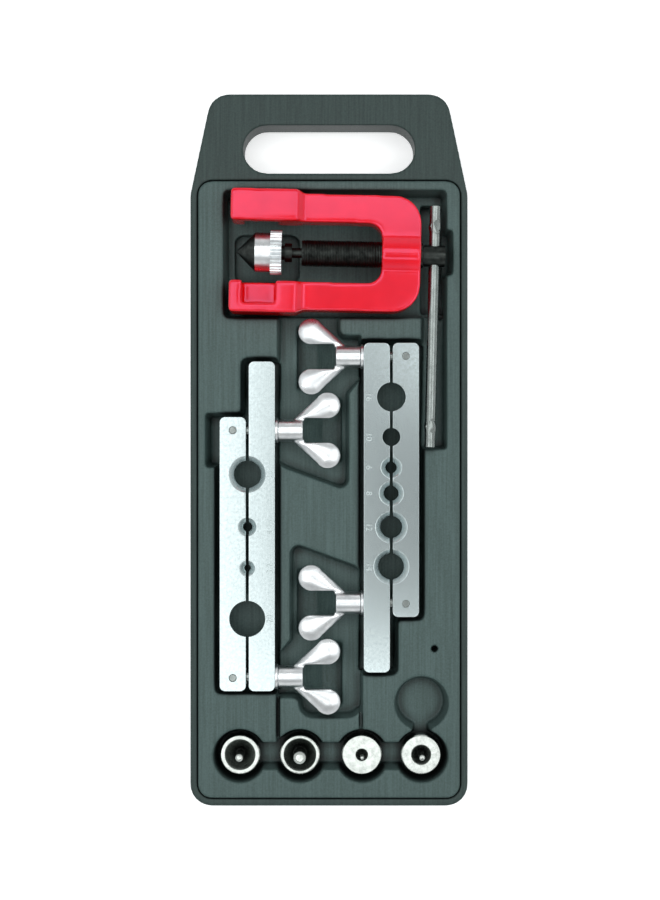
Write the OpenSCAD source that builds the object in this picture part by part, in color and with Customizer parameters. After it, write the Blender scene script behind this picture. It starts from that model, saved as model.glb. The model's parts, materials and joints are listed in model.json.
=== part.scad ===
// Flaring kit: a C-yoke with feed screw, two split clamping bars and four adapters in a carry tray.
// Millimetres. The tray lies flat on Z = 0, its carry handle points to +Y and the tools face +Z.

/* [Tray] */
// Width of the tray
tray_w = 156; // [152:1:170]
// Height of the tray's deck above the floor
deck_z = 30; // [29:0.5:40]
// Width of the rim between the outer edge and the insert
rim_w = 4; // [2.5:0.5:5]
// Length of the carry handle
handle_l = 48.5; // [46:0.5:60]
// How much the handle narrows at each side
handle_taper = 12; // [4:1:18]
// Length of the hand hole
hand_hole_l = 96.6; // [80:1:104]
// Width of the hand hole
hand_hole_w = 27; // [20:0.5:30]
// Distance from the tray's top edge to the hand hole
grip_w = 17.4; // [12:0.2:18]
// Height of the handle's underside above the floor
handle_under = 8; // [4:0.5:14]
// Thickness of the shell's floor
shell_floor = 2.5; // [1.5:0.1:3]
// Gap around the insert
insert_gap = 0.25; // [0.1:0.05:0.5]
// Depth of the tool pockets
pocket_depth = 16; // [13:0.5:20]
// Room around the turning wing nuts
turn_room = 1; // [0.6:0.1:1.4]
// Depth of the shelf around the wing nuts
shelf_depth = 12; // [9:0.5:14]
// Room left around a tool in its pocket
pocket_room = 2.6; // [2.2:0.1:3]
// Distance from the insert's top edge to the yoke
yoke_margin = 8.9; // [6:0.1:12]
// Distance from the yoke to the right bar
yoke_to_bar = 14.4; // [13:0.1:18]
// Distance from the left bar to the row of adapters
bar_to_adapters = 37.4; // [36:0.1:44]
// Distance from the row of adapters to the insert's lower edge
adapters_to_edge = 24; // [20:0.5:28]
// Gap between a lying tool and its pads
seat_gap = 0.2; // [0.1:0.05:0.4]

/* [Yoke] */
// Length of the yoke along the screw
yoke_l = 106; // [102:0.5:108]
// Width of the yoke across both feet
yoke_w = 68.4; // [66:0.2:70]
// Gap between the arms
mouth_w = 33.2; // [31.4:0.2:34]
// Thickness of the yoke's feet
foot_t = 24; // [22:0.5:26]
// Length of each foot
foot_l = 37; // [34:0.5:40]
// Thickness of the yoke's arms and bridge
arm_t = 16; // [14:0.5:18]
// How far the feet stand out beside the arms
foot_step = 1.9; // [1:0.1:2.5]
// Width of the bridge along the screw
bridge_w = 21.7; // [19:0.1:24]
// Length of each foot's hook slot along the screw
hook_l = 18.5; // [16:0.5:20]
// Depth of each hook slot across the foot
hook_d = 12.6; // [10:0.2:13]
// Length of the lip beyond each hook slot
lip_l = 7.2; // [5:0.2:9]
// Turn of the yoke in its pocket, in degrees
yoke_skew = 1.3; // [0.5:0.1:1.5]

/* [Feed screw] */
// Diameter of the screw's thread
thread_d = 14; // [12:0.5:15]
// Diameter of the screw's head
head_d = 12; // [10:0.5:13]
// Length of the screw's head
head_l = 11.8; // [10:0.2:13]
// Gap between the head and the yoke
head_gap = 1.9; // [1.2:0.1:2.5]
// Diameter of the T-bar
bar_d = 6; // [5:0.25:6.5]
// Length of the T-bar
bar_l = 135; // [126:1:140]
// Length of the T-bar's short end, from the screw's axis
bar_short = 28; // [25:0.5:28.5]
// Diameter of the cone's sleeve
sleeve_d = 22; // [20:0.5:23]
// Length of the smooth sleeve
sleeve_l = 8.5; // [7.5:0.25:10]
// Diameter of the knurled ring
knurl_d = 24.7; // [23:0.1:25]
// Length of the knurled ring
knurl_l = 6.3; // [5:0.1:7]
// Distance from the yoke's feet to the cone's tip
tip_inset = 3.6; // [2:0.1:6]
// Diameter of the thrust ball
ball_d = 5; // [4:0.25:5.5]

/* [Clamping bars] */
// Length of a bar's long half
long_l = 184; // [180:0.5:185]
// Length of a bar's short half
short_l = 153; // [150:0.5:154]
// Width of each half
half_w = 14.6; // [14:0.1:15]
// Thickness of the bars
bar_t = 13; // [12:0.25:14]
// Gap between the two halves at rest
jaw_gap = 1.6; // [1.4:0.1:1.8]
// Distance from a short half's ends to its pins
pin_inset = 7.4; // [6.6:0.1:9]
// Diameter of the cross pins
pin_d = 4.3; // [4:0.1:5]
// Diameter of the eye bolts
bolt_d = 6; // [5.4:0.1:6.4]
// Slope height of the flare seats at the tube holes
seat_depth = 2.8; // [1.5:0.1:3]
// Distance along the tray between neighbouring wing nuts of the two bars
nut_stagger = 41.4; // [41.2:0.1:46]

/* [Wing nuts] */
// Diameter of the hub
hub_d = 12.5; // [11:0.25:13]
// Length of the hub
hub_l = 14; // [12:0.25:15]
// Span over both wings
wing_span = 42.6; // [40:0.2:43]
// Overall length of the nut with its wings
wing_reach = 35; // [33:0.25:36]
// Radius of each wing's lobe
lobe_r = 7.2; // [6.4:0.1:7.4]
// Thickness of the wings
wing_t = 5; // [4:0.25:6]
// Diameter of the washers
washer_d = 14; // [12.5:0.25:15]
// Thickness of the washers
washer_t = 1.6; // [1.2:0.1:2]

/* [Adapters] */
// Diameter of the adapters
adapter_d = 23.4; // [22:0.2:25]
// Thickness of the adapters' discs
adapter_t = 10; // [9:0.5:11]
// Height of the pilot pins above the discs
pilot_h = 9; // [6:0.5:11]
// Slope of the cups round the pilot pins, in degrees
cup_slope = 45; // [35:1:50]
// Depth of the adapter pockets
adapter_pocket = 14; // [12:0.5:18]
// Radius of the adapter pockets
adapter_pocket_r = 15.2; // [14:0.1:15.6]

/* [Hidden] */
$fn = 48;
// Clearance of running fits, on the radius
fit = 0.05;
// Overlap of a cut past the face that it opens
cut = 1;
// Segments in a rounded corner
corner_n = 6;
// Clearance below the T-bar where it crosses the deck
bar_clear = 1;

// Length of the tray: everything that lies along it, end to end
tray_l = handle_l + yoke_margin + yoke_w + yoke_to_bar + short_l + nut_stagger + bar_to_adapters
    + adapters_to_edge + rim_w;
// Height of the screw's axis, so that the T-bar passes over the deck
axis_z = deck_z + bar_d / 2 + bar_clear;
// Deck outline
seam_x = tray_w / 2 - rim_w;
seam_top = tray_l / 2 - handle_l;
seam_bottom = -tray_l / 2 + rim_w;
corner_r = 12;

// Yoke tool: its origin is where the T-bar crosses the screw
tool_x = 58.8;
tool_y = seam_top - yoke_margin - yoke_w / 2;
face_x = -head_l / 2 - head_gap;
feet_x = face_x - yoke_l;
mouth_x = face_x - bridge_w;
boss_r = foot_t / 2;
thread_end = -74;
neck_d = 5.6;
neck_l = 5.5;
collar_d = 10.6;
collar_l = 4;
tip_x = feet_x + tip_inset;
tip_r = 0.8;
cone_l = sleeve_d / 2 - tip_r;
cone_base = tip_x + cone_l;
cap_end = cone_base + sleeve_l + knurl_l;
nose_d = 8;
nose_end = cone_base + 5;
shank_d = 15;
shank_l = 2.4;
cap_wall = 3;
ring_t = 1;
stake_inset = 12;
stake_l = 9;
stake_w = bar_d + 0.7;
stake_t = 2.4;
stake_depth = 0.9;
stake_turn = 30;

// Bars: the split line runs along Y, and the long half is on the side of the wing nuts
bar_mid_z = deck_z;
bolt_span = short_l - 2 * pin_inset;
bar_out = jaw_gap / 2 + half_w + pocket_room;
right_split_x = 34.8;
right_top_y = tool_y - yoke_w / 2 - yoke_to_bar;
left_split_x = -45.6;
left_bottom_y = right_top_y - short_l - nut_stagger;
bolt_room = 0.2;
eye_d = 9;
eye_t = 7;

// Tube holes: distance from the short half's end to the hole, its diameter and whether it has a flare seat
right_holes = [[30.2, 16, 0], [52.5, 10, 0], [69.6, 6, 1], [84, 8, 1], [102.9, 12, 1], [125, 14, 1]];
left_holes = [[40.4, 20, 0], [68.5, 3.2, 1], [91.6, 4.75, 1], [121, 15, 1]];
// Adapter positions along X, with the diameters of their cup and pilot pin
adapters = [[-50.2, 17.3, 4.5], [-16.4, 18.3, 7.3], [18.5, 7, 2.2], [52, 11.2, 3.4]];
adapter_y = left_bottom_y - bar_to_adapters;
spare_step = 29.6;
spare_y = adapter_y + spare_step;
channel_w = 15.7;
neck_w = 11.6;

// Rounded outlines: each point is [x, y, corner radius]
function flat(p) = [p[0], p[1]];
function unit(v) = v / norm(v);
function corner(before, at, after) =
    let (a = unit(flat(before) - flat(at)))
    let (b = unit(flat(after) - flat(at)))
    let (half = acos(a * b) / 2)
    let (centre = flat(at) + unit(a + b) * at[2] / sin(half))
    let (from = flat(at) + a * at[2] / tan(half) - centre)
    let (to = flat(at) + b * at[2] / tan(half) - centre)
    let (first = atan2(from[1], from[0]))
    let (sweep = atan2(to[1], to[0]) - first)
    let (turn = sweep > 180 ? sweep - 360 : sweep < -180 ? sweep + 360 : sweep)
    [for (k = [0:corner_n]) centre + at[2] * [cos(first + turn * k / corner_n), sin(first + turn * k / corner_n)]];
function rounded(points) =
    let (n = len(points))
    [for (i = [0:n - 1]) each points[i][2] == 0 ? [flat(points[i])]
        : corner(points[(i + n - 1) % n], points[i], points[(i + 1) % n])];

module plate(points, z0, z1) {
    translate([0, 0, z0])
        linear_extrude(z1 - z0)
            polygon(rounded(points));
}

module box(x0, x1, y0, y1, z0, z1, r = 0) {
    plate([[x0, y0, r], [x1, y0, r], [x1, y1, r], [x0, y1, r]], z0, z1);
}

module rod(x0, x1, d) {
    translate([x0, 0, 0])
        rotate([0, 90, 0])
            cylinder(d = d, h = x1 - x0);
}

// Tray shell: outer walls, floor and carry handle
module case_shell() {
    side = tray_w / 2;
    top = tray_l / 2;
    color([0.31, 0.36, 0.36])
    difference() {
        plate([[-side, -top, corner_r], [side, -top, corner_r], [side, seam_top - 8, corner_r],
            [side - handle_taper, top, corner_r], [handle_taper - side, top, corner_r],
            [-side, seam_top - 8, corner_r]], 0, deck_z);
        box(-seam_x, seam_x, seam_bottom, seam_top, shell_floor, deck_z + cut, corner_r - rim_w);
        box(-hand_hole_l / 2, hand_hole_l / 2, top - grip_w - hand_hole_w, top - grip_w, -cut, deck_z + cut,
            hand_hole_w / 2 - 0.1);
        box(-side - cut, side + cut, seam_top + rim_w, top + cut, -cut, handle_under);
    }
}

// A pocket from a given depth up past the deck
module pocket(points, depth) {
    plate(points, deck_z - depth, deck_z + cut);
}

// Pocket for one bar, drawn for the right bar: split line at x = 0 and the short half's top end at y = 0
module bar_pocket() {
    jaw_room = 0.6;
    step_x = pocket_room + 1.6;
    pocket([[-bar_out, pocket_room, 3], [bar_out + jaw_room, pocket_room, 3],
        [bar_out + jaw_room, -short_l - pocket_room, 3], [step_x, -short_l - pocket_room, 2],
        [step_x, -long_l - pocket_room, 4], [-bar_out, -long_l - pocket_room, 3]], pocket_depth);
}

// Pads under both ends of one bar's long half, clear of its tube holes, in the same frame
module bar_pads() {
    pad_l = 18;
    edge = 2;
    for (y = [-edge, pad_l + 2 * edge - long_l])
        box(-jaw_gap / 2 - half_w + edge, -jaw_gap / 2 - edge, y - pad_l, y, deck_z - pocket_depth - cut,
            bar_mid_z - bar_t / 2 - seat_gap);
}

// Room for one pair of wing nuts, drawn from the middle between them: a shelf with two round troughs.
// The right bar's nut is above and points to -X, and the left bar's nut is below and points to +X.
module nut_room(far_r) {
    nut_face = (right_split_x - left_split_x) / 2 - jaw_gap / 2 - half_w - washer_t;
    lobe_x = wing_reach - nut_face;
    hub_y = nut_stagger / 2;
    span_y = hub_y + wing_span / 2;
    far_y = span_y + 2.3;
    notch = washer_d / 2 + 5.3;
    shelf_x = lobe_x + 4.9;
    edge = nut_face + 0.4;
    slope_y = span_y + 13.3;
    pocket([[-edge, far_y, far_r], [lobe_x, far_y, far_r], [lobe_x, hub_y + notch, 3], [edge, hub_y + notch, 0],
        [edge, hub_y - notch, 3], [shelf_x, 0, 3], [shelf_x, -slope_y, 5], [-edge + 4, -span_y, 4],
        [-edge, 3 - span_y, 0]], shelf_depth);
    wing_room_r = wing_span / 2 + turn_room;
    hub_room_r = washer_d / 2 + turn_room;
    wing_x = 1.4 * lobe_r - lobe_x;
    hub_x = nut_face - hub_l / 2;
    for (turn = [0, 180])
        rotate([0, 0, turn])
            translate([0, hub_y, bar_mid_z])
                rotate([0, 90, 0])
                    rotate_extrude()
                        polygon([[0, -lobe_x - turn_room], [wing_room_r, -lobe_x - turn_room], [wing_room_r, wing_x],
                            [hub_room_r, hub_x], [hub_room_r, edge], [0, edge]]);
}

// Places something in the frame of the right bar or, turned half round, of the left bar
module right_place() {
    translate([right_split_x, right_top_y, 0])
        children();
}

module left_place() {
    translate([left_split_x, left_bottom_y, 0])
        rotate([0, 0, 180])
            children();
}

// Places something in the yoke's frame
module tool_place() {
    translate([tool_x, tool_y, axis_z])
        rotate([0, 0, -yoke_skew])
            children();
}

// Pads under the yoke's feet and bridge
module yoke_pads() {
    edge = 4;
    foot_in = mouth_w / 2 + edge;
    foot_out = yoke_w / 2 - edge;
    pad_top = -foot_t / 2 - seat_gap;
    pad_low = -foot_t / 2 - pocket_depth;
    pad_end = feet_x + foot_l - edge;
    bridge_pad = 10;
    tool_place() {
        box(feet_x + lip_l + hook_l, pad_end, foot_in, foot_out, pad_low, pad_top);
        box(feet_x + edge, pad_end, -foot_out, -foot_in, pad_low, pad_top);
        box(mouth_x + edge, face_x - edge, -bridge_pad / 2, bridge_pad / 2, pad_low, pad_top);
    }
}

// Pockets of the yoke tool: yoke and head, cone, T-bar and the sweep of the T-bar's short end
module tool_room() {
    side_room = 1.2;
    feet_room = 4.6;
    rise = -feet_x * sin(yoke_skew);
    left = tool_x + feet_x - feet_room;
    right = tool_x + head_l / 2 + 1.6;
    low = tool_y - yoke_w / 2 - seat_gap;
    high = tool_y + yoke_w / 2 + rise + side_room;
    thumb_w = 26;
    thumb_d = 3.5;
    thumb_low = tool_y + rise - thumb_w / 2;
    thumb_high = tool_y + rise + thumb_w / 2;
    difference() {
        pocket([[left, low, 3], [right, low, 3], [right, thumb_low, 1], [right + thumb_d, thumb_low, 2],
            [right + thumb_d, thumb_high, 2], [right, thumb_high, 1], [right, high, 3], [left, high, 3]], pocket_depth);
        yoke_pads();
    }
    cone_room = 2.5;
    cone_w = knurl_d + cone_room;
    cone_y = tool_y + rise / 4;
    cone_extra = 4;
    cone_end = tool_x + cap_end + neck_l + collar_l;
    pocket([[tool_x + tip_x - cone_room, cone_y - cone_w / 2, 5], [cone_end, cone_y - cone_w / 2, 5],
        [cone_end, cone_y + cone_w / 2, 5], [tool_x + tip_x - cone_room, cone_y + cone_w / 2, 5]],
        pocket_depth + cone_extra);
    rod_left = tool_x - bar_d - 0.6;
    rod_low = tool_y - bar_l + bar_short - side_room;
    rod_depth = 12;
    pocket([[rod_left, rod_low, 2], [right, rod_low, 2], [right, low + 6, 0], [rod_left, low + 6, 0]], rod_depth);
    sweep_room = 3;
    sweep_depth = bar_short + deck_z - axis_z + sweep_room;
    sweep_l = bar_short + sweep_room;
    pocket([[rod_left, tool_y - sweep_l, 0], [right, tool_y - sweep_l, 0], [right, tool_y + sweep_l, 0],
        [rod_left, tool_y + sweep_l, 0]], sweep_depth);
}

// Pockets of both bars, with the finger recess beside the left one
module bars_room() {
    finger_w = 8.7;
    finger_l = 31;
    finger_y = left_bottom_y + short_l + pocket_room;
    edge_x = left_split_x - jaw_gap / 2 - half_w + pocket_room;
    left = left_split_x - bar_out - finger_w + pocket_room;
    difference() {
        union() {
            right_place() bar_pocket();
            left_place() bar_pocket();
            pocket([[left, finger_y - finger_l, 2], [edge_x, finger_y - finger_l, 0], [edge_x, finger_y, 0],
                [left, finger_y, 2]], pocket_depth);
        }
        right_place() bar_pads();
        left_place() bar_pads();
    }
}

// Pockets of the adapters and the spare place, joined by a channel, with narrow grooves up to the bars
module adapters_room() {
    first = adapters[0][0];
    last = adapters[3][0];
    groove_w = 2.2;
    groove_depth = 8;
    half = channel_w / 2;
    locating_d = 4;
    locating_depth = 10;
    for (place = [for (a = adapters) [a[0], adapter_y], [last, spare_y]])
        translate([place[0], place[1], deck_z - adapter_pocket])
            cylinder(r = adapter_pocket_r, h = adapter_pocket + cut);
    pocket([[first, adapter_y - half, 0], [last, adapter_y - half, 0], [last, adapter_y + half, 0],
        [first, adapter_y + half, 0]], adapter_pocket);
    pocket([[last - neck_w / 2, adapter_y, 0], [last + neck_w / 2, adapter_y, 0], [last + neck_w / 2, spare_y, 0],
        [last - neck_w / 2, spare_y, 0]], adapter_pocket);
    for (g = [[left_split_x + bar_out, left_bottom_y], [right_split_x - bar_out + groove_w, right_top_y - long_l]])
        pocket([[g[0] - groove_w, adapter_y, 0], [g[0], adapter_y, 0], [g[0], g[1], 0], [g[0] - groove_w, g[1], 0]],
            groove_depth);
    translate([last + 7.3, spare_y + 30.7, deck_z - locating_depth])
        cylinder(d = locating_d, h = locating_depth + cut);
}

// Insert: a block with a pocket for each tool
module case_insert() {
    in_x = seam_x - insert_gap;
    in_top = seam_top - insert_gap;
    in_bottom = seam_bottom + insert_gap;
    upper_y = right_top_y - pin_inset - nut_stagger / 2;
    middle_x = (right_split_x + left_split_x) / 2;
    color([0.33, 0.38, 0.38])
    difference() {
        box(-in_x, in_x, in_bottom, in_top, shell_floor, deck_z, corner_r - rim_w - insert_gap);
        tool_room();
        bars_room();
        translate([middle_x, upper_y, 0])
            nut_room(0);
        translate([middle_x, upper_y - bolt_span, 0])
            rotate([0, 0, 180])
                nut_room(8);
        adapters_room();
    }
}

// Yoke: cast C-frame with thick hooked feet and a round boss on the screw's axis
module yoke() {
    mid = arm_t / 2;
    foot = foot_t / 2;
    slope = foot_t / 2 - arm_t / 2;
    side = yoke_w / 2;
    arm_side = side - foot_step;
    lip_x = feet_x + lip_l;
    color([0.78, 0.05, 0.07])
    tool_place()
    difference() {
        union() {
            intersection() {
                linear_extrude(foot_t + 2, center = true)
                    polygon(rounded([[feet_x, -side, 2], [feet_x + foot_l, -side, 1],
                        [feet_x + foot_l + slope, -arm_side, 2], [face_x, -arm_side, 15], [face_x, arm_side, 15],
                        [feet_x + foot_l + slope, arm_side, 2], [feet_x + foot_l, side, 1], [feet_x, side, 2],
                        [feet_x, mouth_w / 2, 1.5], [mouth_x, mouth_w / 2, 7.7], [mouth_x, -mouth_w / 2, 7.7],
                        [feet_x, -mouth_w / 2, 1.5]]));
                rotate([90, 0, 0])
                    linear_extrude(yoke_w + 2, center = true)
                        polygon([[feet_x - cut, -foot], [feet_x + foot_l, -foot], [feet_x + foot_l + slope, -mid],
                            [face_x + cut, -mid], [face_x + cut, mid], [feet_x + foot_l + slope, mid],
                            [feet_x + foot_l, foot], [feet_x - cut, foot]]);
            }
            rod(mouth_x, face_x, 2 * boss_r);
        }
        rod(mouth_x - cut, face_x + cut, thread_d + 2 * fit);
        box(lip_x, lip_x + hook_l, -mouth_w / 2 - hook_d, -mouth_w / 2 + 3, -3, foot + cut, 0);
        box(lip_x, lip_x + hook_l, mouth_w / 2 - 3, mouth_w / 2 + hook_d, -foot - cut, 3, 0);
    }
}

// Feed screw: cross-drilled head, thread, neck, collar and nose
module feed_screw() {
    collar_x = thread_end - neck_l - collar_l;
    color([0.1, 0.1, 0.11])
    tool_place()
    difference() {
        union() {
            rod(-head_l / 2, head_l / 2, head_d);
            rod(thread_end, -head_l / 2 - 0.6, thread_d);
            rod(-head_l / 2 - 0.7, -head_l / 2, head_d - 2);
            rod(collar_x + collar_l - cut, thread_end + cut, neck_d);
            rod(collar_x, collar_x + collar_l, collar_d);
            rod(nose_end, collar_x + cut, nose_d);
        }
        rotate([90, 0, 0])
            cylinder(d = bar_d + 2 * fit, h = head_d + 2 * cut, center = true);
        rotate([0, 90, 0])
            translate([0, 0, nose_end - ball_d / 2 + 1])
                sphere(d = ball_d + 2 * fit);
        groove();
    }
}

// Groove for the retaining ring in the screw's nose
module groove() {
    rotate([0, 90, 0])
        translate([0, 0, cap_end - cap_wall - ring_t - 0.4])
            difference() {
                cylinder(d = nose_d + cut, h = ring_t + 0.2);
                cylinder(d = nose_d - 1.6, h = ring_t + 0.2);
            }
}

// Retaining ring in the nose's groove
module retaining_ring() {
    color([0.55, 0.55, 0.56])
    tool_place()
    rotate([0, 90, 0])
        translate([0, 0, cap_end - cap_wall - ring_t - 0.3])
            difference() {
                cylinder(d = nose_d + 3, h = ring_t);
                translate([0, 0, -cut])
                    cylinder(d = nose_d - 1.4, h = ring_t + 2 * cut);
            }
}

// Thrust ball between the screw's nose and the cone
module thrust_ball() {
    color([0.8, 0.8, 0.82])
    tool_place()
    translate([nose_end - ball_d / 2 + 1, 0, 0])
        sphere(d = ball_d);
}

// Flaring cone with a short shank in the cap
module flare_cone() {
    color([0.09, 0.09, 0.1])
    tool_place()
    rotate([0, 90, 0])
        difference() {
            union() {
                translate([0, 0, tip_x])
                    cylinder(r1 = tip_r, r2 = sleeve_d / 2, h = cone_l);
                translate([0, 0, cone_base - 0.1])
                    cylinder(d = shank_d, h = shank_l + 0.1);
            }
            translate([0, 0, nose_end - ball_d / 2 + 1])
                sphere(d = ball_d + 2 * fit);
        }
}

// Chrome cap: smooth sleeve, knurled ring and the end wall round the screw's nose
module cone_cap() {
    knurl_x = cone_base + sleeve_l;
    teeth = 36;
    color([0.8, 0.81, 0.83])
    tool_place()
    rotate([0, 90, 0])
        difference() {
            union() {
                translate([0, 0, cone_base])
                    cylinder(d = sleeve_d, h = sleeve_l);
                translate([0, 0, knurl_x])
                    cylinder(d = knurl_d, h = knurl_l);
            }
            translate([0, 0, cone_base - cut])
                cylinder(d = shank_d, h = shank_l + cut);
            translate([0, 0, cone_base + shank_l - 0.1])
                cylinder(d = shank_d - 2, h = sleeve_l + knurl_l - shank_l - cap_wall + 0.1);
            translate([0, 0, knurl_x])
                cylinder(d = nose_d + 2 * fit, h = knurl_l + cut);
            for (i = [0:teeth - 1])
                rotate([0, 0, i * 360 / teeth])
                    translate([knurl_d / 2, 0, knurl_x - cut])
                        rotate([0, 0, 45])
                            translate([-0.6, -0.6, 0])
                                cube([1.2, 1.2, knurl_l + 2 * cut]);
        }
}

// T-bar: sliding rod, staked near each end so that it stays in the head
module t_bar() {
    stakes = [bar_short - stake_inset, bar_short - bar_l + stake_inset];
    flat_z = bar_d / 2 - stake_depth + cut;
    color([0.75, 0.76, 0.78])
    tool_place()
    difference() {
        union() {
            translate([0, bar_short, 0])
                rotate([90, 0, 0])
                    cylinder(d = bar_d, h = bar_l);
            for (y = stakes)
                translate([0, y, 0])
                    rotate([0, stake_turn, 0])
                        linear_extrude(stake_t, center = true)
                            stake(stake_w, stake_l);
        }
        for (y = stakes)
            for (z = [-flat_z, flat_z])
                translate([0, y, 0])
                    rotate([0, stake_turn, 0])
                        translate([0, 0, z])
                            linear_extrude(2 * cut, center = true)
                                stake(stake_w - cut, stake_l);
    }
}

// Lens outline of a staked flat
module stake(w, l) {
    r = (l * l / 4 + w * w / 4) / w;
    intersection() {
        translate([r - w / 2, 0])
            circle(r = r);
        translate([w / 2 - r, 0])
            circle(r = r);
    }
}

// Half of a bar: side is -1 for the long half and 1 for the short half
module bar_half(side, length, holes) {
    inner = side * jaw_gap / 2;
    outer = side * (jaw_gap / 2 + half_w);
    low = bar_mid_z - bar_t / 2;
    high = bar_mid_z + bar_t / 2;
    difference() {
        box(min(inner, outer), max(inner, outer), -length, 0, low, high, 3);
        for (h = holes)
            translate([0, -h[0], 0]) {
                translate([0, 0, low - cut])
                    cylinder(d = h[1], h = bar_t + 2 * cut);
                if (h[2] == 1)
                    translate([0, 0, high - seat_depth])
                        cylinder(d1 = h[1], d2 = h[1] + 2 * (seat_depth + cut), h = seat_depth + cut);
            }
    }
}

// Long half: the eye bolts pass through it
module bar_long(holes) {
    color([0.82, 0.84, 0.85])
    difference() {
        bar_half(-1, long_l, holes);
        for (y = [-pin_inset, -pin_inset - bolt_span])
            translate([0, y, bar_mid_z])
                rod(-jaw_gap / 2 - half_w - cut, 0, bolt_d + 2 * bolt_room);
    }
}

// Short half: a slot for each bolt's eye, with the pin across it
module bar_short_half(holes) {
    pin_x = jaw_gap / 2 + half_w / 2;
    color([0.82, 0.84, 0.85])
    difference() {
        bar_half(1, short_l, holes);
        for (y = [-pin_inset, -pin_inset - bolt_span]) {
            translate([0, y, bar_mid_z - eye_t / 2 - bolt_room])
                linear_extrude(eye_t + 2 * bolt_room) {
                    translate([pin_x, 0])
                        circle(d = eye_d + 2 * bolt_room);
                    translate([-1, -eye_d / 2 - bolt_room])
                        square([pin_x + 1, eye_d + 2 * bolt_room]);
                }
            translate([pin_x, y, bar_mid_z - bar_t / 2 - cut])
                cylinder(d = pin_d, h = bar_t + 2 * cut);
        }
    }
}

// Cross pins of one bar
module bar_pins() {
    color([0.7, 0.72, 0.74])
    for (y = [-pin_inset, -pin_inset - bolt_span])
        translate([jaw_gap / 2 + half_w / 2, y, bar_mid_z - bar_t / 2])
            cylinder(d = pin_d, h = bar_t);
}

// Eye bolts of one bar
module bar_bolts() {
    pin_x = jaw_gap / 2 + half_w / 2;
    end_x = -jaw_gap / 2 - half_w - washer_t - hub_l + 1.5;
    color([0.6, 0.62, 0.64])
    for (y = [-pin_inset, -pin_inset - bolt_span])
        translate([0, y, bar_mid_z])
            difference() {
                union() {
                    translate([pin_x, 0, -eye_t / 2])
                        cylinder(d = eye_d, h = eye_t);
                    rod(end_x, pin_x - 1, bolt_d);
                }
                translate([pin_x, 0, -eye_t])
                    cylinder(d = pin_d, h = 2 * eye_t);
            }
}

// Washers of one bar
module bar_washers() {
    color([0.78, 0.8, 0.82])
    for (y = [-pin_inset, -pin_inset - bolt_span])
        translate([-jaw_gap / 2 - half_w - washer_t, y, bar_mid_z])
            difference() {
                rod(0, washer_t, washer_d);
                rod(-cut, washer_t + cut, bolt_d + 2 * bolt_room);
            }
}

// Wing nut on the upper (0) or lower (1) bolt of one bar
module wing_nut(which) {
    start = -jaw_gap / 2 - half_w - washer_t - fit;
    color([0.8, 0.81, 0.83])
    translate([start, -pin_inset - which * bolt_span, bar_mid_z])
        difference() {
            union() {
                rod(-hub_l, 0, hub_d);
                for (s = [-1, 1])
                    translate([0, 0, -wing_t / 2])
                        linear_extrude(wing_t)
                            wing(s);
            }
            rod(-hub_l - cut, cut, bolt_d + 2 * fit);
        }
}

// Outline of one wing: a round lobe that narrows to a point along the hub
module wing(side) {
    lobe_x = lobe_r - wing_reach;
    lobe_y = wing_span / 2 - lobe_r;
    inner_y = lobe_y - lobe_r;
    tip_x = -hub_l * 0.62;
    tip_y = hub_d / 2;
    slope = atan2(lobe_y + lobe_r - tip_y, tip_x - lobe_x) - 8;
    root_y = hub_d / 4;
    translate([lobe_x, side * lobe_y])
        circle(r = lobe_r);
    polygon([[lobe_x, side * lobe_y], [lobe_x + lobe_r * sin(slope), side * (lobe_y + lobe_r * cos(slope))],
        [tip_x, side * tip_y], [tip_x, side * root_y], [-hub_l, side * root_y],
        [-hub_l - 1, side * inner_y], [lobe_x, side * inner_y]]);
}

// Double-flare adapter: disc with a cup that slopes down to the pilot pin
module adapter(i) {
    rim_r = adapter_d / 2;
    edge = 1;
    cup_r = adapters[i][1] / 2;
    pin_r = adapters[i][2] / 2;
    lead = pin_r * 0.4;
    cup_z = adapter_t - (cup_r - pin_r) * tan(cup_slope);
    pin_z = adapter_t + pilot_h;
    color([0.62, 0.63, 0.62])
    translate([adapters[i][0], adapter_y, deck_z - adapter_pocket + seat_gap])
        rotate_extrude()
            polygon([[0, 0], [rim_r - edge, 0], [rim_r, edge], [rim_r, adapter_t - edge], [rim_r - edge, adapter_t],
                [cup_r, adapter_t], [pin_r, cup_z], [pin_r, pin_z], [pin_r - lead, pin_z + lead], [0, pin_z + lead]]);
}

case_shell();
case_insert();
yoke();
feed_screw();
t_bar();
flare_cone();
cone_cap();
thrust_ball();
retaining_ring();
right_place() bar_long(right_holes);  // right_bar_long
right_place() bar_short_half(right_holes);  // right_bar_short
right_place() bar_pins();  // right_pins
right_place() bar_bolts();  // right_bolts
right_place() bar_washers();  // right_washers
right_place() wing_nut(0);  // right_nut_upper
right_place() wing_nut(1);  // right_nut_lower
left_place() bar_long(left_holes);  // left_bar_long
left_place() bar_short_half(left_holes);  // left_bar_short
left_place() bar_pins();  // left_pins
left_place() bar_bolts();  // left_bolts
left_place() bar_washers();  // left_washers
left_place() wing_nut(1);  // left_nut_upper
left_place() wing_nut(0);  // left_nut_lower
adapter(0);  // adapter_1
adapter(1);  // adapter_2
adapter(2);  // adapter_3
adapter(3);  // adapter_4
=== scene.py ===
# %% [markdown]
# A tube flaring kit lies in its carry tray and is seen from straight above. The solid pieces come
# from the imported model, at their real size. This script gives them their looks: soft moulded lips,
# a cast and enamelled yoke, a cut thread, plated bars and polished wing nuts.

# %% Load the frame
import json
import math

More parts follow.
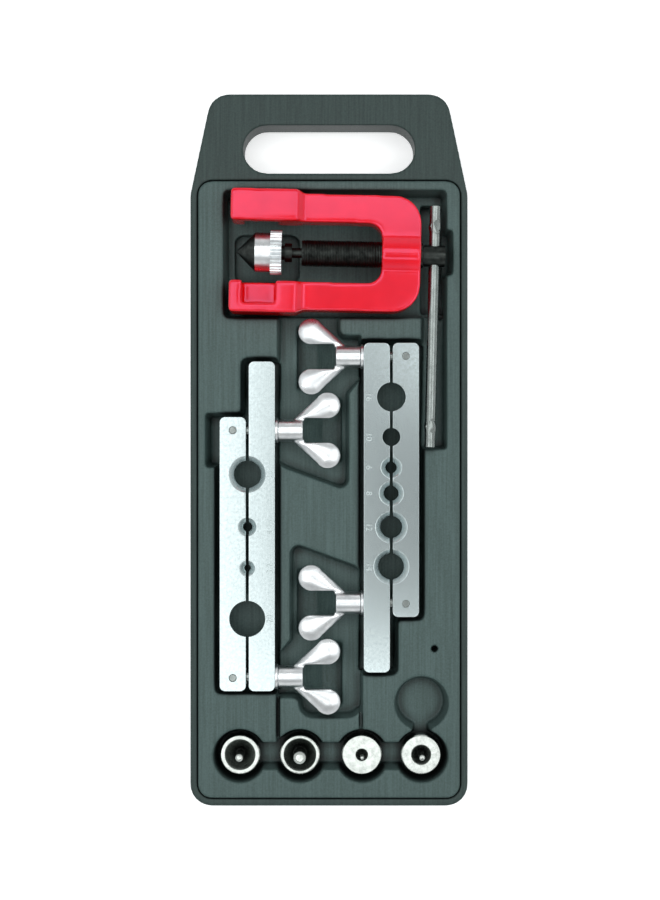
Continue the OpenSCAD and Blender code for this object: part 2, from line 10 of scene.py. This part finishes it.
import bmesh
import bpy
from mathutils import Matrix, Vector


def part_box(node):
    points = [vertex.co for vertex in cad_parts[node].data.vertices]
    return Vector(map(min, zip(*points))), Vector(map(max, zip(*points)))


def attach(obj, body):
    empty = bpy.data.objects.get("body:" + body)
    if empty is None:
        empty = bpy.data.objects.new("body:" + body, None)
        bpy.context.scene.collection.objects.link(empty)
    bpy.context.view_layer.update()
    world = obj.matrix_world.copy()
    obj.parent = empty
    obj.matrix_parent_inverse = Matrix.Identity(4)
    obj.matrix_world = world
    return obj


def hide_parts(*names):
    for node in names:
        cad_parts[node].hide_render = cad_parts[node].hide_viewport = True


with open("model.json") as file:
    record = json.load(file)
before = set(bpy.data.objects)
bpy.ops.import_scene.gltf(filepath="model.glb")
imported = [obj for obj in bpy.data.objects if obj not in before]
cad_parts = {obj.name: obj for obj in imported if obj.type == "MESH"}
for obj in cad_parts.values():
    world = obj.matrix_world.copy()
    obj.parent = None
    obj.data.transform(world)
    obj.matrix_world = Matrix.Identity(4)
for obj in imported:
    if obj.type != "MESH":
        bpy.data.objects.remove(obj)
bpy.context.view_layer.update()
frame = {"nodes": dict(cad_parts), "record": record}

MM = 0.001
NODES = frame["nodes"]
BODY_OF = {n: body for body, names in frame["record"]["behaviour"]["bodies"].items() for n in names}
SLOT_OF = {s["node"]: s["material_slot"] for s in frame["record"]["subparts"]}
JOINT = {j["name"]: j for j in frame["record"]["behaviour"]["joints"]}

# %% [markdown]
# The photograph looks straight down, so the camera stands above the deck and points along -Z with
# +Y up. The tray is 400 mm long and takes 712 of the picture's 900 pixels. From that and the
# camera's height follow the field of view and the lens.

# %% Camera
PICTURE_W, PICTURE_H = 660, 900
TRAY_PIXELS = 712
TRAY_CENTRE_PIXEL = 329
CAMERA_ABOVE_DECK = 900 * MM
SENSOR = 36
NEAREST_SEEN = 10 * MM
DECK_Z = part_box("case_insert")[1][2]
TRAY_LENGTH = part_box("case_shell")[1][1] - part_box("case_shell")[0][1]
PIXELS_PER_M = TRAY_PIXELS / TRAY_LENGTH

camera_data = bpy.data.cameras.new("camera")
camera = bpy.data.objects.new("camera", camera_data)
bpy.context.collection.objects.link(camera)
camera_data.sensor_width = SENSOR
camera_data.lens = SENSOR * CAMERA_ABOVE_DECK / (PICTURE_H / PIXELS_PER_M)
camera_data.clip_start = NEAREST_SEEN
camera.location = ((PICTURE_W / 2 - TRAY_CENTRE_PIXEL) / PIXELS_PER_M, 0, DECK_Z + CAMERA_ABOVE_DECK)
bpy.context.scene.camera = camera
bpy.context.scene.view_settings.view_transform = "Standard"
print("lens", round(camera_data.lens, 1))

# %% [markdown]
# Five soft boxes hang level above the tray. Polished metal shows what it faces, so their edges decide
# which tools look bright. The wide one on the left is what the left bar mirrors. A small one behind lights
# the yoke's upper arm, and one in front the adapters. The one on the right is out of every flat tool's
# mirror line and only fills. The right bar mirrors the gap between them, so it looks grey in its middle.
# Its ends are brighter: one mirrors the edge of the front box, the other the smallest box.
# The room's own light fades towards the sides. Seen straight, all round the tray is white. A reflection
# shows a white paper sweep that turns into a dim ceiling overhead.

# %% Room and lights
LAMP_Z = 1.25
LAMP_GLOW = 2.2
CEILING_GLOW = 0.42
WALL_GLOW = 0.16
WALL_TO_CEILING = (0.3, 0.85)
SWEEP_TO_CEILING = (0.4, 0.75)
COOL_DAYLIGHT = (0.86, 0.97, 1.0, 1)
WHITE = (1, 1, 1, 1)


def add(tree, kind, settings=None, inputs=None):
    """Adds one node; inputs maps a socket to a value or to another node's output socket."""
    item = tree.nodes.new(kind)
    for key, value in (settings or {}).items():
        setattr(item, key, value)
    for key, value in (inputs or {}).items():
        if isinstance(value, bpy.types.NodeSocket):
            tree.links.new(value, item.inputs[key])
        else:
            item.inputs[key].default_value = value
    return item


def seen_rays(tree):
    """1 for rays that show something, straight or in a reflection, and 0 for rays that only light it."""
    path = add(tree, "ShaderNodeLightPath")
    shown = add(tree, "ShaderNodeMath", {"operation": "ADD", "use_clamp": True},
                {0: path.outputs["Is Camera Ray"], 1: path.outputs["Is Glossy Ray"]})
    return add(tree, "ShaderNodeMath", {"operation": "ADD", "use_clamp": True},
               {0: shown.outputs[0], 1: path.outputs["Is Transmission Ray"]})


def soft_box(name, x_range, y_range):
    """A level lamp over that part of the ceiling, in metres; all of them glow equally."""
    data = bpy.data.lights.new(name, "AREA")
    data.shape = "RECTANGLE"
    data.size = x_range[1] - x_range[0]
    data.size_y = y_range[1] - y_range[0]
    data.energy = LAMP_GLOW * math.pi * data.size * data.size_y
    item = bpy.data.objects.new(name, data)
    item.location = (sum(x_range) / 2, sum(y_range) / 2, LAMP_Z)
    bpy.context.collection.objects.link(item)


soft_box("soft_box_left", (-1.1, -0.075), (-0.55, 0.65))
soft_box("soft_box_right", (0.34, 1.3), (-0.6, 0.7))
soft_box("soft_box_back", (-0.075, 0.3), (0.27, 0.75))
soft_box("soft_box_front", (-0.075, 0.22), (-0.52, -0.26))
soft_box("soft_box_small", (0.085, 0.2), (0.08, 0.17))

world = bpy.data.worlds.new("room")
bpy.context.scene.world = world
world.use_nodes = True
room = world.node_tree
room.nodes.clear()
seen = seen_rays(room)
ray = add(room, "ShaderNodeTexCoord")
split = add(room, "ShaderNodeSeparateXYZ", None, {0: ray.outputs["Generated"]})
light = add(room, "ShaderNodeMapRange", None,
            {0: split.outputs["Z"], 1: WALL_TO_CEILING[0], 2: WALL_TO_CEILING[1],
             3: WALL_GLOW, 4: CEILING_GLOW})
sweep = add(room, "ShaderNodeMapRange", None,
            {0: split.outputs["Z"], 1: SWEEP_TO_CEILING[0], 2: SWEEP_TO_CEILING[1],
             3: 1.0, 4: CEILING_GLOW})
walls = add(room, "ShaderNodeBackground", None, {"Color": COOL_DAYLIGHT, "Strength": light.outputs[0]})
straight = add(room, "ShaderNodeMath", {"operation": "MAXIMUM"},
               {0: sweep.outputs[0], 1: add(room, "ShaderNodeLightPath").outputs["Is Camera Ray"]})
white = add(room, "ShaderNodeBackground", None, {"Color": WHITE, "Strength": straight.outputs[0]})
both = add(room, "ShaderNodeMixShader", None,
           {0: seen.outputs[0], 1: walls.outputs[0], 2: white.outputs[0]})
add(room, "ShaderNodeOutputWorld", None, {"Surface": both.outputs[0]})


# %% [markdown]
# Colours are written as the hex values that a paint chart or a picture editor shows. Blender's
# shaders work in linear light, so one function converts them.

# %% Colour and material helpers
def linear(hex_code):
    parts = [int(hex_code[i:i + 2], 16) / 255 for i in (1, 3, 5)]
    return tuple(c / 12.92 if c <= 0.04045 else ((c + 0.055) / 1.055) ** 2.4 for c in parts) + (1.0,)


def start_material(name, **values):
    """A new material with its shader; values are set on the shader's own sockets."""
    made = bpy.data.materials.new(name)
    made.use_nodes = True
    tree = made.node_tree
    shader = tree.nodes["Principled BSDF"]
    for key, value in values.items():
        shader.inputs[key.replace("_", " ")].default_value = value
    return made, tree, shader


def per_metre(size_mm):
    """Noise scale whose features are about size_mm across."""
    return 1 / (size_mm * MM)


def place_on_piece(tree, stretch=(1, 1, 1)):
    """Object coordinates, squeezed along each axis by stretch."""
    coords = add(tree, "ShaderNodeTexCoord")
    return add(tree, "ShaderNodeMapping", None, {"Vector": coords.outputs["Object"], "Scale": stretch})


def ramp(tree, source, stops):
    """Colour ramp between stops of (position, hex colour)."""
    made = add(tree, "ShaderNodeValToRGB", None, {"Fac": source})
    while len(made.color_ramp.elements) < len(stops):
        made.color_ramp.elements.new(0.5)
    for element, (position, hex_code) in zip(made.color_ramp.elements, stops):
        element.position = position
        element.color = linear(hex_code)
    return made


# %% [markdown]
# The tray is blow-moulded polyethylene. The soft tube that it is blown from leaves faint streaks
# along its length, and the mould adds a fine grain. Both are drawn as noise: one stretched along
# the tray, one even. Shade is painted into the corners and beside the tools: an occlusion node
# darkens the plastic's colour where another surface stands a few millimetres off.

# %% Polyethylene
CORNER_SHADE_REACH = 6 * MM


def moulded_polyethylene(name, dark, light):
    made, tree, shader = start_material(name, IOR=1.51, Roughness=0.5, Specular_IOR_Level=0.25)
    along = place_on_piece(tree, (1, 0.03, 1))
    streaks = add(tree, "ShaderNodeTexNoise", None,
                  {"Vector": along.outputs[0], "Scale": per_metre(1.1), "Detail": 2.0})
    even = place_on_piece(tree)
    grain = add(tree, "ShaderNodeTexNoise", None,
                {"Vector": even.outputs[0], "Scale": per_metre(0.9), "Detail": 3.0})
    mix = add(tree, "ShaderNodeMix", {"data_type": "FLOAT"},
              {0: 0.5, 2: streaks.outputs["Fac"], 3: grain.outputs["Fac"]})
    tint = ramp(tree, mix.outputs[0], [(0.36, dark), (0.64, light)])
    # Painted shade: the plastic's colour is darkened where the occlusion node finds another surface close
    # by.
    near = add(tree, "ShaderNodeAmbientOcclusion", {"samples": 8}, {"Distance": CORNER_SHADE_REACH})
    unshaded_share = add(tree, "ShaderNodeMapRange", None, {0: near.outputs["AO"], 1: 0.5, 2: 0.95, 3: 0.1, 4: 1.0})
    shaded_tint = add(tree, "ShaderNodeVectorMath", {"operation": "SCALE"},
                {0: tint.outputs["Color"], "Scale": unshaded_share.outputs[0]})
    tree.links.new(shaded_tint.outputs[0], shader.inputs["Base Color"])
    sheen = add(tree, "ShaderNodeMapRange", None,
                {0: grain.outputs["Fac"], 1: 0.3, 2: 0.7, 3: 0.42, 4: 0.58})
    tree.links.new(sheen.outputs[0], shader.inputs["Roughness"])
    bump = add(tree, "ShaderNodeBump", None,
               {"Strength": 0.25, "Distance": 0.05 * MM, "Height": mix.outputs[0]})
    tree.links.new(bump.outputs[0], shader.inputs["Normal"])
    return made


SHELL_PLASTIC = moulded_polyethylene("polyethylene_moulded_shell", "#2b3836", "#394845")
INSERT_PLASTIC = moulded_polyethylene("polyethylene_moulded_insert", "#41524f", "#526563")


# %% [markdown]
# The yoke is a steel casting under stoved red enamel. The enamel is smooth and glossy, with a faint
# orange-peel ripple a few millimetres across and a slightly deeper red where it lies thick.

# %% Enamel
def stoved_enamel():
    made, tree, shader = start_material("enamel_stoved_red", IOR=1.52, Roughness=0.13,
                                        Specular_IOR_Level=0.7, Specular_Tint=(1.0, 0.55, 1.0, 1.0))
    even = place_on_piece(tree)
    cloud = add(tree, "ShaderNodeTexNoise", None,
                {"Vector": even.outputs[0], "Scale": per_metre(16), "Detail": 2.0})
    tint = ramp(tree, cloud.outputs["Fac"], [(0.3, "#e8090c"), (0.7, "#f81116")])
    tree.links.new(tint.outputs["Color"], shader.inputs["Base Color"])
    peel = add(tree, "ShaderNodeTexNoise", None,
               {"Vector": even.outputs[0], "Scale": per_metre(2.2), "Detail": 1.0})
    bump = add(tree, "ShaderNodeBump", None,
               {"Strength": 0.12, "Distance": 0.1 * MM, "Height": peel.outputs["Fac"]})
    tree.links.new(bump.outputs[0], shader.inputs["Normal"])
    return made


RED_ENAMEL = stoved_enamel()


# %% [markdown]
# The other tools are bare or plated steel. They share one recipe: a metal whose colour and roughness
# drift a little, with fine lines left by grinding or turning. What differs is the colour, the
# roughness and the size of the lines, so one function makes them all. Shade is painted into narrow
# cups, where the steel's colour is darkened.

# %% Metals
CUP_SHADE_REACH = 8 * MM


def worked_metal(name, dark, light, rough, cloud_mm, line_mm, line_stretch, line_depth_mm, cup_shade_to=1.0):
    """cup_shade_to is the share of the colour left deep inside a cup as painted shade; 1 means none."""
    made, tree, shader = start_material(name, Metallic=1.0)
    even = place_on_piece(tree)
    cloud = add(tree, "ShaderNodeTexNoise", None,
                {"Vector": even.outputs[0], "Scale": per_metre(cloud_mm), "Detail": 4.0})
    tint = ramp(tree, cloud.outputs["Fac"], [(0.32, dark), (0.68, light)])
    colour = tint.outputs["Color"]
    if cup_shade_to < 1:
        # Painted shade: the colour darkens inside cups where the occlusion node finds steel close by.
        near = add(tree, "ShaderNodeAmbientOcclusion", {"samples": 8}, {"Distance": CUP_SHADE_REACH})
        unshaded_share = add(tree, "ShaderNodeMapRange", None,
                    {0: near.outputs["AO"], 1: 0.4, 2: 0.9, 3: cup_shade_to, 4: 1.0})
        colour = add(tree, "ShaderNodeVectorMath", {"operation": "SCALE"},
                     {0: colour, "Scale": unshaded_share.outputs[0]}).outputs[0]
    tree.links.new(colour, shader.inputs["Base Color"])
    gloss = add(tree, "ShaderNodeMapRange", None,
                {0: cloud.outputs["Fac"], 1: 0.3, 2: 0.7, 3: rough[1], 4: rough[0]})
    tree.links.new(gloss.outputs[0], shader.inputs["Roughness"])
    along = place_on_piece(tree, line_stretch)
    lines = add(tree, "ShaderNodeTexNoise", None,
                {"Vector": along.outputs[0], "Scale": per_metre(line_mm), "Detail": 2.0})
    bump = add(tree, "ShaderNodeBump", None,
               {"Strength": 0.3, "Distance": line_depth_mm * MM, "Height": lines.outputs["Fac"]})
    tree.links.new(bump.outputs[0], shader.inputs["Normal"])
    return made


# Ground and nickel-plated bar stock: bright, finely mottled, with lines along the bar
PLATED_STEEL = worked_metal("steel_ground_nickel_plated", "#a8b4b5", "#b3bfc0", (0.18, 0.23),
                            1.6, 0.7, (1, 0.04, 1), 0.02)
# Tumbled and chromed die castings: bright but soft, gently wavy
CHROME = worked_metal("die_cast_tumbled_chrome", "#c6cbcd", "#e2e6e7", (0.26, 0.38),
                      5, 2.5, (1, 1, 1), 0.03)
# Drawn rod, zinc plated: greyer, with a soft bright stripe along it
BRIGHT_STEEL = worked_metal("steel_drawn_zinc_plated", "#747b79", "#848b89", (0.22, 0.3),
                            4, 0.6, (1, 0.05, 1), 0.006)
# Chemically blackened steel: dark and oily
BLACK_OXIDE = worked_metal("steel_black_oxide", "#1f2221", "#383c3a", (0.28, 0.44),
                           3, 0.5, (0.2, 1, 1), 0.02)
# Turned and zinc-plated steel: bright rims round cups darkened with painted shade
TURNED_STEEL = worked_metal("steel_turned_zinc_plated", "#a7ada9", "#b3b9b5", (0.16, 0.24),
                            2.5, 0.4, (1, 1, 1), 0.004, cup_shade_to=0.25)
FINISH = {"case_plastic": SHELL_PLASTIC, "insert_plastic": INSERT_PLASTIC, "red_enamel": RED_ENAMEL,
          "black_oxide": BLACK_OXIDE, "bright_steel": BRIGHT_STEEL, "plated_steel": PLATED_STEEL,
          "chrome": CHROME, "adapter_steel": TURNED_STEEL}
for node_name, item in NODES.items():
    item.data.materials.clear()
    item.data.materials.append(FINISH[SLOT_OF[node_name]])
print("materials", len(FINISH))


# %% [markdown]
# Mouldings and castings have no sharp edges. A copy of the solid is remeshed into small even cells
# and smoothed, which rounds the lips and fills the inner corners like the radii of a mould. The
# copy then stands for the solid, which stays in the frame for contact and weight.

# %% Helpers for pieces
def new_piece(name, mesh, node_name):
    item = bpy.data.objects.new(name, mesh)
    bpy.context.collection.objects.link(item)
    if not mesh.materials:
        mesh.materials.append(FINISH[SLOT_OF[node_name]])
    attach(item, BODY_OF[node_name])
    return item


def apply_modifiers(item):
    graph = bpy.context.evaluated_depsgraph_get()
    mesh = bpy.data.meshes.new_from_object(item.evaluated_get(graph))
    item.modifiers.clear()
    item.data = mesh


def smooth_shading(mesh):
    mesh.polygons.foreach_set("use_smooth", [True] * len(mesh.polygons))


def moulded(node_name, cell_mm, passes, keep, shape=None):
    """A rounded stand-in for a moulded or cast solid; keep is the share of faces left at the end."""
    mesh = NODES[node_name].data.copy()
    if shape:
        shape(mesh)
    item = new_piece(node_name + "_moulded", mesh, node_name)
    cells = item.modifiers.new("cells", "REMESH")
    cells.mode = "VOXEL"
    cells.voxel_size = cell_mm * MM
    soften = item.modifiers.new("soften", "SMOOTH")
    soften.factor = 0.5
    soften.iterations = passes
    if keep < 1:
        thin = item.modifiers.new("thin", "DECIMATE")
        thin.ratio = keep
    apply_modifiers(item)
    smooth_shading(item.data)
    if not item.data.materials:
        item.data.materials.append(FINISH[SLOT_OF[node_name]])
    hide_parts(node_name)
    print(item.name, len(item.data.polygons), "faces")
    return item


# %% [markdown]
# A moulding slides off its mould only if its walls lean a little. That lean, the draft, is what shows
# from above as a dark band along each pocket. Every wall that reaches the deck keeps its upper edge,
# and its lower edge moves into the pocket in step with its depth.

# %% Tray
DRAFT = math.tan(math.radians(8))
CORNER_LIMIT = 1.4
WELD = 0.002 * MM
SHALLOW = 0.5 * MM
ABOVE_BASE = 0.2 * MM
AT_DECK = 0.1 * MM
UPRIGHT = 0.05
SAME_WAY = 0.97


def lean_walls(mesh):
    work = bmesh.new()
    work.from_mesh(mesh)
    bmesh.ops.remove_doubles(work, verts=work.verts, dist=WELD)
    work.normal_update()
    base_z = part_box("case_insert")[0].z
    moves = {}
    for vert in work.verts:
        depth = DECK_Z - vert.co.z
        if depth < SHALLOW or vert.co.z < base_z + ABOVE_BASE:
            continue
        sides = []
        for face in vert.link_faces:
            if abs(face.normal.z) < UPRIGHT and max(v.co.z for v in face.verts) > DECK_Z - AT_DECK:
                if all(face.normal.dot(n) < SAME_WAY for n in sides):
                    sides.append(face.normal.copy())
        if sides:
            lean = depth * DRAFT
            mean = sum(sides, Vector()).normalized()
            moves[vert] = mean * lean * min(CORNER_LIMIT, 1 / min(mean.dot(n) for n in sides))
    for vert, move in moves.items():
        vert.co += move
    work.to_mesh(mesh)
    work.free()
    print("leaning corners", len(moves))


moulded("case_shell", 0.9, 5, 0.4)
moulded("case_insert", 0.7, 4, 0.35, lean_walls)

# %% [markdown]
# The yoke is cast, so its edges are rounded too. The wing nuts are die castings: each wing swells
# along its middle and thins towards its rim, which gives the soft ridge that catches the light.

# %% Castings
NUTS = ("right_nut_upper", "right_nut_lower", "left_nut_upper", "left_nut_lower")
LOBE_RADIUS = 7.2 * MM
ROOT_RADIUS = 2.6 * MM
ROOT_FROM_FACE = 10 * MM
HUB_RADIUS = 6.2 * MM
RIM_SHARE = 0.6
RIDGE_SHARE = 0.8


def swell_wings(item, points):
    """Thickens each wing along its middle line; points is -1 or 1, the way the wings point along X."""
    corners = [v.co for v in item.data.vertices]
    face_x = min(c.x * points for c in corners)
    tip_x = max(c.x * points for c in corners)
    middle_y = (min(c.y for c in corners) + max(c.y for c in corners)) / 2
    lobe_y = max(c.y for c in corners) - middle_y - LOBE_RADIUS
    root = Vector((face_x + ROOT_FROM_FACE, HUB_RADIUS - ROOT_RADIUS))
    lobe = Vector((tip_x - LOBE_RADIUS, lobe_y))
    along = lobe - root
    for corner in corners:
        here = Vector((corner.x * points, abs(corner.y - middle_y)))
        share = max(0.0, min(1.0, (here - root).dot(along) / along.length_squared))
        half_width = ROOT_RADIUS + share * (LOBE_RADIUS - ROOT_RADIUS)
        off = min(1.0, (here - root - along * share).length / half_width)
        swell = RIM_SHARE + RIDGE_SHARE * (1 - off ** 2)
        clear_of_hub = max(0.0, min(1.0, (here.y - 0.8 * HUB_RADIUS) / (0.5 * HUB_RADIUS)))
        corner.z = DECK_Z + (corner.z - DECK_Z) * (1 + clear_of_hub * (swell - 1))


moulded("yoke", 0.7, 16, 1)
for nut in NUTS:
    swell_wings(moulded(nut, 0.4, 7, 1), -1 if nut.startswith("right") else 1)


# %% [markdown]
# Machined pieces keep crisp forms with a small broken edge. A copy of each solid is cleaned of the
# triangles' inner edges, and every sharp edge gets a narrow bevel that catches the light.

# %% Machined pieces
END_ZONE = 1 * MM
FLAT_ANGLE = math.radians(0.5)
EDGE_ANGLE = math.radians(32)
SHADE_ANGLE = math.radians(35)


def machined(node_name, bevel_mm, steps=2, ends_only=False):
    """A stand-in with bevelled edges; with ends_only just those at its two ends along Y."""
    low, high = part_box(node_name)
    work = bmesh.new()
    work.from_mesh(NODES[node_name].data)
    bmesh.ops.remove_doubles(work, verts=work.verts, dist=WELD)
    bmesh.ops.dissolve_limit(work, angle_limit=FLAT_ANGLE, verts=work.verts, edges=work.edges)
    sharp = [e for e in work.edges if len(e.link_faces) == 2 and e.calc_face_angle() > EDGE_ANGLE]
    if ends_only:
        sharp = [e for e in sharp if min(min(v.co.y - low.y, high.y - v.co.y) for v in e.verts) < END_ZONE]
    bmesh.ops.bevel(work, geom=sharp, offset=bevel_mm * MM, segments=steps, profile=0.5, affect="EDGES",
                    clamp_overlap=True)
    bmesh.ops.triangulate(work, faces=work.faces)
    mesh = bpy.data.meshes.new(node_name + "_machined")
    work.to_mesh(mesh)
    work.free()
    item = new_piece(node_name + "_machined", mesh, node_name)
    smooth_shading(mesh)
    mesh.set_sharp_from_angle(angle=SHADE_ANGLE)
    flats = item.modifiers.new("flats", "WEIGHTED_NORMAL")
    flats.keep_sharp = True
    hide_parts(node_name)
    return item


for bar in ("right_bar_long", "right_bar_short", "left_bar_long", "left_bar_short"):
    machined(bar, 0.7, 3)
for pins in ("right_pins", "left_pins"):
    machined(pins, 0.45, 3)
machined("t_bar", 0.4, ends_only=True)
for turned in ("adapter_1", "adapter_2", "adapter_3", "adapter_4", "right_washers", "left_washers"):
    machined(turned, 0.3)

# %% [markdown]
# The feed screw's thread is a real helix. A tube's surface is drawn as a grid of rings, and each
# ring's radius follows a triangle wave that climbs once per turn. The tube is closed at both ends and
# inside, so it is a solid sleeve over the screw's core.

# %% Thread
PITCH = 1.5 * MM
THREAD_DEPTH = 0.55 * MM
CORE_RADIUS = 6.5 * MM
STEPS_PER_PITCH = 6
SIDES = 48
screw_axis = Vector(JOINT["screw_turn"]["axis"]).normalized()
screw_middle = Vector(JOINT["screw_turn"]["pos_m"])
side_axis = screw_axis.cross(Vector((0, 0, 1))).normalized()
up_axis = side_axis.cross(screw_axis).normalized()
THREAD_FROM, THREAD_TO = 30.0 * MM, 73.8 * MM
SCREW_RADIUS = 7.0 * MM
CREST = SCREW_RADIUS + THREAD_DEPTH


def thread_sleeve():
    rings = int((THREAD_TO - THREAD_FROM) / PITCH * STEPS_PER_PITCH)
    work = bmesh.new()
    rows = []
    for i in range(rings + 1):
        along = THREAD_FROM + (THREAD_TO - THREAD_FROM) * i / rings
        fade = min(1.0, i / STEPS_PER_PITCH, (rings - i) / STEPS_PER_PITCH)
        row = []
        for k in range(SIDES):
            wave = (along / PITCH + k / SIDES) % 1.0
            radius = CREST - THREAD_DEPTH * (1 - fade * (1 - abs(2 * wave - 1)))
            angle = 2 * math.pi * k / SIDES
            out = side_axis * math.cos(angle) + up_axis * math.sin(angle)
            row.append(work.verts.new(screw_middle + screw_axis * along + out * radius))
        rows.append(row)
    for along in (THREAD_TO, THREAD_FROM):
        rows.append([work.verts.new(screw_middle + screw_axis * along + CORE_RADIUS * (
            side_axis * math.cos(2 * math.pi * k / SIDES) + up_axis * math.sin(2 * math.pi * k / SIDES)))
            for k in range(SIDES)])
    rows.append(rows[0])
    for a, b in zip(rows, rows[1:]):
        for k in range(SIDES):
            work.faces.new((a[k], a[(k + 1) % SIDES], b[(k + 1) % SIDES], b[k]))
    bmesh.ops.recalc_face_normals(work, faces=work.faces)
    mesh = bpy.data.meshes.new("feed_screw_thread")
    work.to_mesh(mesh)
    work.free()
    return new_piece("feed_screw_thread", mesh, "feed_screw")


print("thread faces", len(thread_sleeve().data.polygons))

# %% [markdown]
# Each tube hole has its size stamped beside it on the long half. Plain figures are drawn as text
# and turned into thin meshes that stand a few hundredths of a millimetre proud of the plating.

# %% Stamped sizes
STAMP_HEIGHT = 3.4 * MM
STAMP_FROM_HOLE = 12.6 * MM
STAMP_THICKNESS = 0.03 * MM
FONT_SIZE_PER_HEIGHT = 1.4
STAMP_INK, stamp_tree, stamp_shader = start_material("stamp_etched_grey", Metallic=1.0)
stamp_noise = add(stamp_tree, "ShaderNodeTexNoise", None,
                  {"Vector": place_on_piece(stamp_tree).outputs[0], "Scale": per_metre(0.6), "Detail": 2.0})
stamp_tint = ramp(stamp_tree, stamp_noise.outputs["Fac"], [(0.35, "#9aa6a6"), (0.65, "#c0cccc")])
stamp_tree.links.new(stamp_tint.outputs["Color"], stamp_shader.inputs["Base Color"])
stamp_shader.inputs["Roughness"].default_value = 0.6


def stamp(text, place, turn, node_name, name):
    curve = bpy.data.curves.new(name, "FONT")
    curve.body = text
    curve.size = STAMP_HEIGHT * FONT_SIZE_PER_HEIGHT
    curve.align_x = "CENTER"
    curve.align_y = "CENTER"
    curve.extrude = STAMP_THICKNESS
    maker = bpy.data.objects.new(name + "_curve", curve)
    bpy.context.collection.objects.link(maker)
    maker.location = place
    maker.rotation_euler = (0, 0, turn)
    bpy.context.view_layer.update()
    mesh = bpy.data.meshes.new_from_object(maker.evaluated_get(bpy.context.evaluated_depsgraph_get()))
    mesh.transform(maker.matrix_world)
    bpy.data.objects.remove(maker)
    mesh.materials.clear()
    mesh.materials.append(STAMP_INK)
    return new_piece(name, mesh, node_name)


MOUNT = {m["name"]: m for m in frame["record"]["mounts"]}
BAR_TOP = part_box("right_bar_long")[1].z
stamps = 0
for mount_name, mount in MOUNT.items():
    if "_tube_" not in mount_name:
        continue
    side, size = mount_name.split("_tube_")
    hole = Vector(mount["pos_m"])
    away = -1 if side == "right" else 1
    place = (hole.x + away * STAMP_FROM_HOLE, hole.y, BAR_TOP)
    stamp(size.replace("_", "."), place, away * math.pi / 2, side + "_bar_long",
          "stamp_" + side + "_" + size)
    stamps += 1
print("stamped sizes", stamps)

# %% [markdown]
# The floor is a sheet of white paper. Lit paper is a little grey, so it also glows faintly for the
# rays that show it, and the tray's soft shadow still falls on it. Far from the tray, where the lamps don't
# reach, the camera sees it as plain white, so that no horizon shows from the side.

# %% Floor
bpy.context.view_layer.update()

FLOOR_SIZE = 6.0
PAPER_GLOW = 0.5
LIT_PAPER = (0.4, 1.2)
bpy.ops.mesh.primitive_plane_add(size=FLOOR_SIZE, location=(0, 0, 0))
floor = bpy.context.object
floor.name = "floor"
paper, paper_tree, paper_shader = start_material("paper_sweep_white", Roughness=0.9)
paper_shader.inputs["Base Color"].default_value = linear("#f4f4f4")
paper_shader.inputs["Emission Color"].default_value = WHITE
paper_glow = add(paper_tree, "ShaderNodeMath", {"operation": "MULTIPLY"},
                 {0: seen_rays(paper_tree).outputs[0], 1: PAPER_GLOW})
from_tray = add(paper_tree, "ShaderNodeVectorMath", {"operation": "LENGTH"},
                {0: place_on_piece(paper_tree).outputs[0]})
far = add(paper_tree, "ShaderNodeMapRange", None,
          {0: from_tray.outputs["Value"], 1: LIT_PAPER[0], 2: LIT_PAPER[1], 3: 0.0, 4: 1.0})
far_seen = add(paper_tree, "ShaderNodeMath", {"operation": "MULTIPLY"},
               {0: far.outputs[0], 1: add(paper_tree, "ShaderNodeLightPath").outputs["Is Camera Ray"]})
paper_white = add(paper_tree, "ShaderNodeMath", {"operation": "MAXIMUM"},
                  {0: paper_glow.outputs[0], 1: far_seen.outputs[0]})
paper_tree.links.new(paper_white.outputs[0], paper_shader.inputs["Emission Strength"])
floor.data.materials.append(paper)
